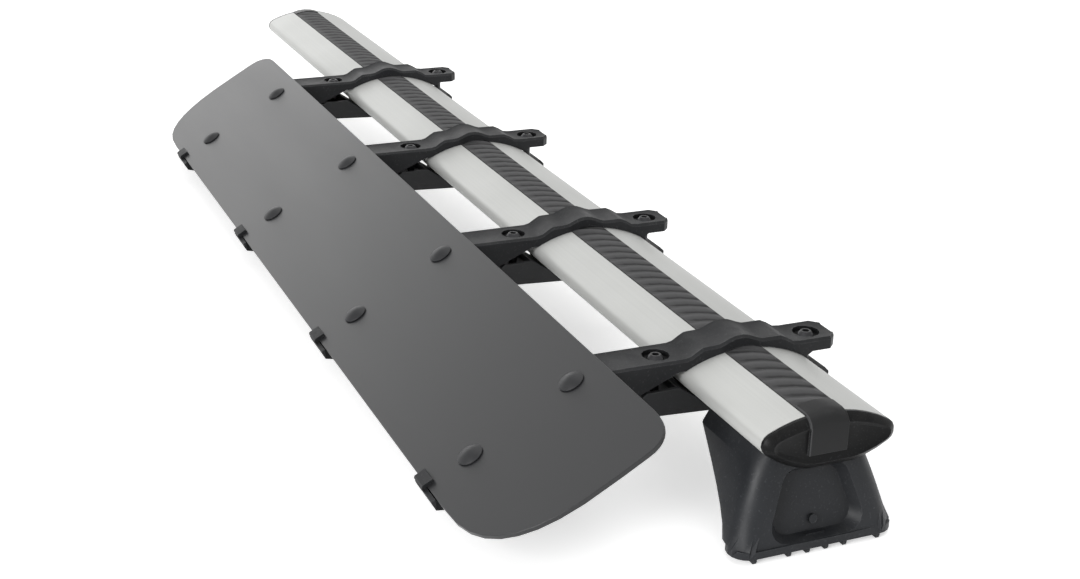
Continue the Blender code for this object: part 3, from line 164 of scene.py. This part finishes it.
def shading_group(name, angle):
    """A node group that welds a mesh and shades it smooth, but for edges that turn by more
    than angle degrees."""
    group = bpy.data.node_groups.new(name, "GeometryNodeTree")
    group.interface.new_socket("Geometry", in_out="INPUT", socket_type="NodeSocketGeometry")
    group.interface.new_socket("Geometry", in_out="OUTPUT", socket_type="NodeSocketGeometry")
    start = group.nodes.new("NodeGroupInput")
    end = group.nodes.new("NodeGroupOutput")
    weld = group.nodes.new("GeometryNodeMergeByDistance")
    weld.inputs["Distance"].default_value = WELD_DISTANCE
    turn = group.nodes.new("GeometryNodeInputMeshEdgeAngle")
    over = group.nodes.new("FunctionNodeCompare")
    over.operation = "GREATER_THAN"
    over.inputs["B"].default_value = math.radians(angle)
    normals = group.nodes.new("GeometryNodeSetMeshNormal")
    normals.mode = "SHARPNESS"
    group.links.new(start.outputs["Geometry"], weld.inputs["Geometry"])
    group.links.new(turn.outputs["Unsigned Angle"], over.inputs["A"])
    group.links.new(weld.outputs["Geometry"], normals.inputs["Mesh"])
    group.links.new(over.outputs["Result"], normals.inputs["Edge Sharpness"])
    group.links.new(normals.outputs["Mesh"], end.inputs["Geometry"])
    return group


def weld_and_shade(obj, group):
    smooth = obj.modifiers.new("weld", "NODES")
    smooth.node_group = group


def round_edges(obj, width):
    """Rounds the edges of a CAD node with modifiers, which leave the mesh itself alone."""
    flat = obj.modifiers.new("merge_flat_faces", "DECIMATE")
    flat.decimate_type = "DISSOLVE"
    flat.angle_limit = math.radians(MERGE_ANGLE)
    flat.delimit = {"SHARP"}
    bevel = obj.modifiers.new("round_edges", "BEVEL")
    bevel.width = width
    bevel.segments = BEVEL_SEGMENTS
    bevel.limit_method = "ANGLE"
    bevel.angle_limit = math.radians(BEVEL_ANGLE)
    bevel.use_clamp_overlap = True
    bevel.miter_outer = "MITER_ARC"
    bevel.harden_normals = True


# Materials.

def scaled(colour, factor):
    return tuple(factor * c for c in colour)


class Painter:
    """A material and short ways to add nodes to it."""

    INPUTS = {
        "color": "Base Color",
        "roughness": "Roughness",
        "metallic": "Metallic",
        "specular": "Specular IOR Level",
        "normal": "Normal",
    }

    def __init__(self, name):
        self.material = bpy.data.materials.new(name)
        self.material.use_nodes = True
        self.tree = self.material.node_tree
        self.shader = self.tree.nodes["Principled BSDF"]
        self.place = self.add("ShaderNodeTexCoord").outputs["Object"]

    def add(self, kind, **settings):
        node = self.tree.nodes.new(kind)
        for key, value in settings.items():
            setattr(node, key, value)
        return node

    def feed(self, socket, value):
        """Gives a socket a constant, or links it to another node's output."""
        if isinstance(value, bpy.types.NodeSocket):
            self.tree.links.new(value, socket)
        else:
            socket.default_value = value

    def split(self, vector):
        """The X, Y and Z of a vector."""
        node = self.add("ShaderNodeSeparateXYZ")
        self.feed(node.inputs["Vector"], vector)
        return node.outputs["X"], node.outputs["Y"], node.outputs["Z"]

    def stretched(self, scale):
        """The place with each axis times scale, for patterns that run in one direction."""
        node = self.add("ShaderNodeMapping")
        self.feed(node.inputs["Vector"], self.place)
        node.inputs["Scale"].default_value = scale
        return node.outputs["Vector"]

    def noise(self, size, detail=2.0, roughness=0.5, vector=None):
        """Noise whose blobs are about size metres across."""
        node = self.add("ShaderNodeTexNoise")
        self.feed(node.inputs["Vector"], vector or self.place)
        node.inputs["Scale"].default_value = 1.0 / size
        node.inputs["Detail"].default_value = detail
        node.inputs["Roughness"].default_value = roughness
        return node.outputs["Fac"]

    def cells(self, size):
        """Distance from the centre of random cells about size metres across."""
        node = self.add("ShaderNodeTexVoronoi")
        self.feed(node.inputs["Vector"], self.place)
        node.inputs["Scale"].default_value = 1.0 / size
        return node.outputs["Distance"]

    def spread(self, value, low, high, to_low=0.0, to_high=1.0):
        """Maps low to to_low and high to to_high, and holds the value outside them."""
        node = self.add("ShaderNodeMapRange")
        self.feed(node.inputs["Value"], value)
        node.inputs["From Min"].default_value = low
        node.inputs["From Max"].default_value = high
        node.inputs["To Min"].default_value = to_low
        node.inputs["To Max"].default_value = to_high
        return node.outputs["Result"]

    def maths(self, operation, a, b=0.0):
        node = self.add("ShaderNodeMath", operation=operation)
        self.feed(node.inputs[0], a)
        self.feed(node.inputs[1], b)
        return node.outputs["Value"]

    def times(self, a, b):
        return self.maths("MULTIPLY", a, b)

    def mixed(self, share, a, b):
        """Colour a where share is 0 and colour b where it is 1."""
        node = self.add("ShaderNodeMix", data_type="RGBA")
        self.feed(node.inputs[0], share)
        for socket, value in ((node.inputs[6], a), (node.inputs[7], b)):
            self.feed(socket, value if isinstance(value, bpy.types.NodeSocket) else (*value, 1.0))
        return node.outputs[2]

    def edges(self, radius):
        """0 on a flat face and near 1 along its outer edges, whatever the mesh's density."""
        rounded = self.add("ShaderNodeBevel", samples=EDGE_SAMPLES)
        rounded.inputs["Radius"].default_value = radius
        geometry = self.add("ShaderNodeNewGeometry")
        turn = self.add("ShaderNodeVectorMath", operation="DOT_PRODUCT")
        self.feed(turn.inputs[0], rounded.outputs["Normal"])
        self.feed(turn.inputs[1], geometry.outputs["Normal"])
        return self.spread(turn.outputs["Value"], *EDGE_COSINES)

    def hollows(self, reach):
        """1 in the open and towards 0 in hollows that are narrower than reach, which the plastics use
        to paint shade into their recesses.
        """
        shade = self.add("ShaderNodeAmbientOcclusion", samples=HOLLOW_SAMPLES, only_local=True)
        shade.inputs["Distance"].default_value = reach
        return shade.outputs["AO"]

    def upward(self):
        """1 where the surface faces up and 0 where it stands upright or faces down."""
        geometry = self.add("ShaderNodeNewGeometry")
        rise = self.split(geometry.outputs["Normal"])[2]
        return self.spread(rise, *UPWARD_RISES)

    def bump(self, height, depth, strength=1.0, before=None):
        """Bump of depth metres, on top of an earlier bump where there is one before it."""
        node = self.add("ShaderNodeBump")
        self.feed(node.inputs["Height"], height)
        node.inputs["Distance"].default_value = depth
        node.inputs["Strength"].default_value = strength
        if before is not None:
            self.feed(node.inputs["Normal"], before)
        return node.outputs["Normal"]

    def set(self, **values):
        for key, value in values.items():
            self.feed(self.shader.inputs[self.INPUTS[key]], value)
        return self.material


def grained_plastic(name, dark, light, edge, grain, depth, rough, specular,
                    hollow_shade_reach=HOLLOW_SHADE_REACH, tab=False):
    """Moulded plastic: slow drift, spark-eroded grain, rubbed edges that are partly a painted
    highlight, dust on top, painted shade in hollows, and a painted highlight on an end cap's tab.
    """
    p = Painter(name)
    drift = p.spread(p.noise(PLASTIC_DRIFT, detail=3.0), 0.35, 0.65)
    colour = p.mixed(drift, dark, light)
    speckle = p.spread(p.noise(grain * SPECKLES_PER_GRAIN, detail=1.0), 0.62, 0.80)
    colour = p.mixed(p.times(speckle, SPECKLE_SHARE), colour, edge)
    # Painted highlight on an end cap's tab.
    if tab:
        colour = tab_highlight(p, colour, edge)
    patches = p.noise(DUST_PATCHES, detail=5.0, roughness=0.7)
    dusty = p.spread(patches, 0.48, 0.85, 0.0, DUST_SHARE)
    colour = p.mixed(p.times(p.upward(), dusty), colour, DUST)
    # Rubbed edges, lighter: partly wear and partly a painted edge highlight.
    rubbed = p.spread(p.noise(WEAR_PATCHES, detail=4.0), 0.30, 0.72, 0.15, 0.85)
    colour = p.mixed(p.times(p.edges(WORN_AND_HIGHLIT_EDGE), rubbed), colour, edge)
    # Painted shade: darker in hollows and recesses, where shade falls.
    shaded = p.spread(p.hollows(hollow_shade_reach), 1.0, 0.35, 0.0, HOLLOW_SHADE_SHARE)
    colour = p.mixed(shaded, colour, scaled(dark, HOLLOW_SHADE_TO_DARK))
    grained = p.bump(p.noise(grain, detail=2.0, roughness=0.6), depth, 0.8)
    scuffs = p.noise(PLASTIC_SCUFFS, detail=4.0, roughness=0.65)
    return p.set(
        color=colour,
        roughness=p.spread(scuffs, 0.3, 0.75, rough - 0.06, rough + 0.10),
        specular=specular,
        normal=grained,
    )


def tab_highlight(p, colour, edge):
    """Paints a highlight on an end cap's tab, and a brighter painted highlight along a line at its
    front edge.
    """
    across, height = p.split(p.place)[1:]
    above_foot = p.maths("GREATER_THAN", height, TAB_FOOT_Z)
    inside = p.maths("LESS_THAN", p.maths("ABSOLUTE", across), STRIP_HALF)
    colour = p.mixed(p.times(inside, above_foot), colour, scaled(edge, TAB_HIGHLIGHT_TO_EDGE))
    # Painted highlight line along the tab's front edge.
    from_edge = p.maths("ABSOLUTE", p.maths("ADD", across, STRIP_HALF))
    line = p.spread(from_edge, *TAB_HIGHLIGHT_LINE)
    return p.mixed(p.times(p.times(line, above_foot), TAB_HIGHLIGHT_SHARE), colour, edge)


def panel_plastic(name, dark, light, edge, rough, specular):
    """Satin sheet plastic: nearly even, with faint wiped streaks along its length and fine dust."""
    p = Painter(name)
    drift = p.spread(p.noise(SHEET_DRIFT, detail=1.0), 0.3, 0.7)
    colour = p.mixed(drift, dark, light)
    specks = p.spread(p.cells(SHEET_SPECKS), 0.16, 0.05)
    few = p.spread(p.noise(SHEET_SPECK_PATCHES, detail=3.0), 0.52, 0.66)
    colour = p.mixed(p.times(p.times(specks, few), SHEET_SPECK_SHARE), colour, SPECKS)
    # Lighter edges: partly wear and partly a painted edge highlight.
    colour = p.mixed(p.times(p.edges(SHEET_WORN_AND_HIGHLIT_EDGE), SHEET_WEAR_AND_HIGHLIGHT_SHARE), colour, edge)
    grain = p.bump(p.noise(SHEET_GRAIN, detail=1.0), SHEET_GRAIN_DEPTH, 0.6)
    wiped = p.noise(SHEET_WIPES, detail=4.0, roughness=0.6, vector=p.stretched(WIPE_SCALE))
    return p.set(
        color=colour,
        roughness=p.spread(wiped, 0.3, 0.7, rough - 0.015, rough + 0.02),
        specular=specular,
        normal=grain,
    )


def rubber_bloom(p):
    """0 to 1 in the slow patches of dust that dull rubber."""
    return p.spread(p.noise(RUBBER_BLOOM, detail=4.0, roughness=0.7), 0.35, 0.75)


def rubber_finish(p, colour, bloom, rough, before=None):
    """The matt skin that both rubbers share."""
    fine = p.bump(p.noise(RUBBER_GRAIN, detail=2.0), RUBBER_GRAIN_DEPTH, 0.7, before=before)
    roughness = p.spread(bloom, 0.0, 1.0, rough, rough + 0.1)
    return p.set(color=colour, roughness=roughness, specular=RUBBER_SPECULAR, normal=fine)


def rubber(name, dark, light, rough):
    """Matt rubber with a patchy bloom of dust."""
    p = Painter(name)
    bloom = rubber_bloom(p)
    colour = p.mixed(bloom, dark, light)
    worn = p.times(p.edges(RUBBER_WORN_EDGE), RUBBER_WEAR_SHARE)
    colour = p.mixed(worn, colour, scaled(light, WORN_RUBBER_TO_LIGHT))
    return rubber_finish(p, colour, bloom, rough)


def ribbed_rubber(name, dark, light, rough):
    """The strip's matt rubber, with painted shade in the valleys between its slanted ribs and a
    painted highlight on the crests.
    """
    p = Painter(name)
    along, side = p.split(p.place)[:2]
    across = p.maths("DIVIDE", side, STRIP_HALF)
    lean = p.times(across, RIB_SLANT / 2.0)
    bow = p.times(p.maths("SUBTRACT", 1.0, p.times(across, across)), RIB_BOW)
    past_first = p.maths("SUBTRACT", along, FIRST_VALLEY)
    straightened = p.maths("SUBTRACT", past_first, p.maths("ADD", lean, bow))
    # Phase runs from one valley, at 0, to the next, at 1.
    phase = p.maths("FRACT", p.maths("DIVIDE", straightened, RIB_PITCH))
    before_valley = p.spread(phase, *BEFORE_VALLEY)
    past_valley = p.spread(phase, *PAST_VALLEY)
    inside = p.spread(across, *VALLEY_FADE_IN)
    valley = p.times(p.maths("MAXIMUM", before_valley, past_valley), inside)
    crest_highlight = p.times(p.spread(phase, *CREST_RISE), p.spread(phase, *CREST_FALL))
    bloom = rubber_bloom(p)
    colour = p.mixed(bloom, dark, light)
    # Painted highlight on the crests, then painted shade in the valleys.
    colour = p.mixed(p.times(crest_highlight, CREST_HIGHLIGHT_SHARE), colour, scaled(light, CREST_HIGHLIGHT_TO_LIGHT))
    colour = p.mixed(p.times(valley, VALLEY_SHADE_SHARE), colour, scaled(dark, VALLEY_SHADE_TO_DARK))
    grooved = p.bump(p.maths("SUBTRACT", 1.0, valley), VALLEY_DEPTH)
    return rubber_finish(p, colour, bloom, rough, before=grooved)


def anodised_aluminium(name, base, pale, rough):
    """Extruded, anodised aluminium: die lines along X under a satin skin, a little cloudy."""
    p = Painter(name)
    cloud = p.spread(p.noise(ALUMINIUM_CLOUDS, detail=3.0), 0.35, 0.65)
    lines = p.noise(1.0, detail=3.0, roughness=0.6, vector=p.stretched(DIE_LINE_SCALE))
    colour = p.mixed(cloud, base, pale)
    lined = p.spread(lines, 0.35, 0.7, 0.0, DIE_LINE_SHARE)
    colour = p.mixed(lined, colour, scaled(base, DIE_LINE_TO_BASE))
    drawn = p.bump(lines, DIE_LINE_DEPTH, 0.5)
    skin = p.bump(p.noise(ALUMINIUM_SKIN, detail=1.0), ALUMINIUM_SKIN_DEPTH, 0.5, before=drawn)
    handled = p.noise(ALUMINIUM_HANDLING, detail=4.0)
    return p.set(
        color=colour,
        metallic=ALUMINIUM_METALLIC,
        roughness=p.spread(handled, 0.3, 0.7, rough - 0.02, rough + 0.03),
        specular=ALUMINIUM_SPECULAR,
        normal=skin,
    )


def steel(name, base, edge, rough, metallic=1.0):
    """Plated or blackened steel, with turned marks and rubbed edges."""
    p = Painter(name)
    patch = p.spread(p.noise(STEEL_PATCHES, detail=4.0), 0.35, 0.7)
    colour = p.mixed(patch, base, scaled(base, STEEL_PATCH_TO_BASE))
    rubbed = p.spread(p.noise(STEEL_WEAR, detail=3.0), 0.35, 0.65, 0.2, 0.9)
    colour = p.mixed(p.times(p.edges(STEEL_WORN_EDGE), rubbed), colour, edge)
    marks = p.bump(p.noise(STEEL_MARKS, detail=2.0), STEEL_MARK_DEPTH, 0.6)
    return p.set(
        color=colour,
        metallic=metallic,
        roughness=p.spread(patch, 0.0, 1.0, rough - 0.05, rough + 0.08),
        normal=marks,
    )


def make_looks():
    """Every material of the object by its look's name."""
    return {
        "panel": panel_plastic(
            "panel_satin", dark=(0.015, 0.0155, 0.0165), light=(0.019, 0.0195, 0.0205),
            edge=(0.10, 0.10, 0.105), rough=0.35, specular=0.40),
        "cap": panel_plastic(
            "cap_satin", dark=(0.018, 0.0185, 0.020), light=(0.023, 0.0235, 0.025),
            edge=(0.10, 0.10, 0.105), rough=0.42, specular=0.25),
        "bracket": grained_plastic(
            "bracket_grain", dark=(0.013, 0.0135, 0.0145), light=(0.018, 0.0185, 0.020),
            edge=(0.110, 0.112, 0.115), grain=0.9 * MILLIMETRE, depth=0.06 * MILLIMETRE,
            rough=0.50, specular=0.18),
        "jaw": grained_plastic(
            "jaw_grain", dark=(0.016, 0.0165, 0.0175), light=(0.022, 0.0225, 0.024),
            edge=(0.07, 0.071, 0.073), grain=0.8 * MILLIMETRE, depth=0.05 * MILLIMETRE,
            rough=0.50, specular=0.35),
        "pad": rubber(
            "pad_rubber", dark=(0.012, 0.012, 0.012), light=(0.020, 0.020, 0.021), rough=0.72),
        "bolt": steel(
            "bolt_black", base=(0.035, 0.035, 0.037), edge=(0.22, 0.22, 0.22),
            rough=0.34, metallic=0.85),
        "steel": steel(
            "plated_steel", base=(0.42, 0.42, 0.41), edge=(0.65, 0.65, 0.63), rough=0.36),
        "bar": anodised_aluminium(
            "bar_anodised", base=(0.51, 0.515, 0.50), pale=(0.56, 0.565, 0.55), rough=0.46),
        "strip": ribbed_rubber(
            "strip_rubber", dark=(0.036, 0.036, 0.037), light=(0.049, 0.049, 0.050), rough=0.60),
        "end_cap": grained_plastic(
            "end_cap_satin", dark=(0.0040, 0.0041, 0.0043), light=(0.0070, 0.0072, 0.0075),
            edge=(0.085, 0.086, 0.088), grain=0.7 * MILLIMETRE, depth=0.015 * MILLIMETRE,
            rough=0.36, specular=0.11, hollow_shade_reach=0.004, tab=True),
        "leg": grained_plastic(
            "leg_grain", dark=(0.0135, 0.0146, 0.0168), light=(0.0180, 0.0194, 0.0222),
            edge=(0.090, 0.094, 0.100), grain=1.0 * MILLIMETRE, depth=0.07 * MILLIMETRE,
            rough=0.43, specular=0.22, hollow_shade_reach=0.030),
    }


def dress(nodes):
    """Gives every CAD node its material, smooth shading and rounded edges."""
    moulded = shading_group("moulded_shading", MOULDED_SHARP_ANGLE)
    ribbed = shading_group("ribbed_shading", RIBBED_SHARP_ANGLE)
    looks = make_looks()
    for name, obj in sorted(nodes.items()):
        look, width = next(row[1:] for row in NODE_LOOKS if name.startswith(row[0]))
        obj.data.materials.clear()
        obj.data.materials.append(looks[look])
        weld_and_shade(obj, ribbed if look == "strip" else moulded)
        if width > 0.0:
            round_edges(obj, width * MILLIMETRE)


# Studio.

def pointed_at(place, target):
    """The matrix of a lamp at place that shines at target."""
    way = (Vector(target) - Vector(place)).to_track_quat("-Z", "Y")
    return Matrix.Translation(place) @ way.to_matrix().to_4x4()


def softbox(name, place, target, size, power):
    lamp = bpy.data.lights.new(name, "AREA")
    lamp.shape = "RECTANGLE"
    lamp.size, lamp.size_y = size
    lamp.energy = power
    obj = bpy.data.objects.new(name, lamp)
    obj.matrix_world = pointed_at(place, target)
    obj.visible_camera = False
    bpy.context.scene.collection.objects.link(obj)


def rays_that_see(tree):
    """1 for the camera's rays and for glossy or transmitted ones, and 0 for the rays that light."""
    path = tree.nodes.new("ShaderNodeLightPath")
    seen = path.outputs["Is Camera Ray"]
    for kind in ("Is Glossy Ray", "Is Transmission Ray"):
        either = tree.nodes.new("ShaderNodeMath")
        either.operation = "MAXIMUM"
        tree.links.new(seen, either.inputs[0])
        tree.links.new(path.outputs[kind], either.inputs[1])
        seen = either.outputs["Value"]
    return seen


def lit_world(strength, shown):
    """An even world of this strength, which the camera and reflections see as white."""
    world = bpy.data.worlds.new("studio")
    bpy.context.scene.world = world
    world.use_nodes = True
    tree = world.node_tree
    background = tree.nodes["Background"]
    background.inputs["Color"].default_value = WHITE
    level = tree.nodes.new("ShaderNodeMapRange")
    level.inputs["To Min"].default_value = strength
    level.inputs["To Max"].default_value = shown
    tree.links.new(rays_that_see(tree), level.inputs["Value"])
    tree.links.new(level.outputs["Result"], background.inputs["Strength"])


def studio_floor(radius, glow):
    """A pale floor just under the leg's sole. Its own light is seen, as white, but lights nothing."""
    p = Painter("studio_floor")
    p.set(color=FLOOR_COLOUR, roughness=FLOOR_ROUGHNESS, specular=FLOOR_SPECULAR)
    p.feed(p.shader.inputs["Emission Color"], WHITE)
    p.feed(p.shader.inputs["Emission Strength"], p.times(rays_that_see(p.tree), glow))
    angles = [2.0 * math.pi * k / FLOOR_CORNERS for k in range(FLOOR_CORNERS)]
    corners = [(radius * math.cos(a), radius * math.sin(a), 0.0) for a in angles]
    mesh = bpy.data.meshes.new("studio_floor")
    mesh.from_pydata(corners, [], [list(range(FLOOR_CORNERS))])
    mesh.materials.append(p.material)
    floor = bpy.data.objects.new("studio_floor", mesh)
    floor.location = FLOOR_CENTRE
    bpy.context.scene.collection.objects.link(floor)


def photo_camera():
    """The camera of the photograph, by its yaw, its pitch below the horizon and its roll."""
    sy, cy = math.sin(CAMERA_YAW), math.cos(CAMERA_YAW)
    sp, cp = math.sin(CAMERA_PITCH), math.cos(CAMERA_PITCH)
    forward = Vector((-sy * cp, cy * cp, -sp))
    level = forward.cross(Vector((0.0, 0.0, 1.0))).normalized()
    upright = level.cross(forward)
    sr, cr = math.sin(CAMERA_ROLL), math.cos(CAMERA_ROLL)
    right = cr * level + sr * upright
    up = cr * upright - sr * level
    data = bpy.data.cameras.new("photo_camera")
    data.lens = CAMERA_LENS
    data.sensor_width = CAMERA_SENSOR
    data.sensor_fit = "HORIZONTAL"
    camera = bpy.data.objects.new("photo_camera", data)
    turn = Matrix((right, up, -forward)).transposed().to_4x4()
    camera.matrix_world = Matrix.Translation(CAMERA_PLACE) @ turn
    bpy.context.scene.collection.objects.link(camera)
    bpy.context.scene.camera = camera


bpy.context.scene.view_settings.view_transform = "Standard"
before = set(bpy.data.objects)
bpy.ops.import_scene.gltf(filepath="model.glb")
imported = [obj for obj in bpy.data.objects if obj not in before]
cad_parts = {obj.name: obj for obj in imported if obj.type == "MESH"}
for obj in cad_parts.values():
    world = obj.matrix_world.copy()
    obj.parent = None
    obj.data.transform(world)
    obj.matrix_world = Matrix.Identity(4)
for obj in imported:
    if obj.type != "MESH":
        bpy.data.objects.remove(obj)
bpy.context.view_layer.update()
photo_camera()
dress(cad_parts)
lit_world(WORLD_LIGHT, WORLD_SHOWN)
studio_floor(FLOOR_RADIUS, FLOOR_GLOW)
for lamp_row in LAMPS:
    softbox(*lamp_row)
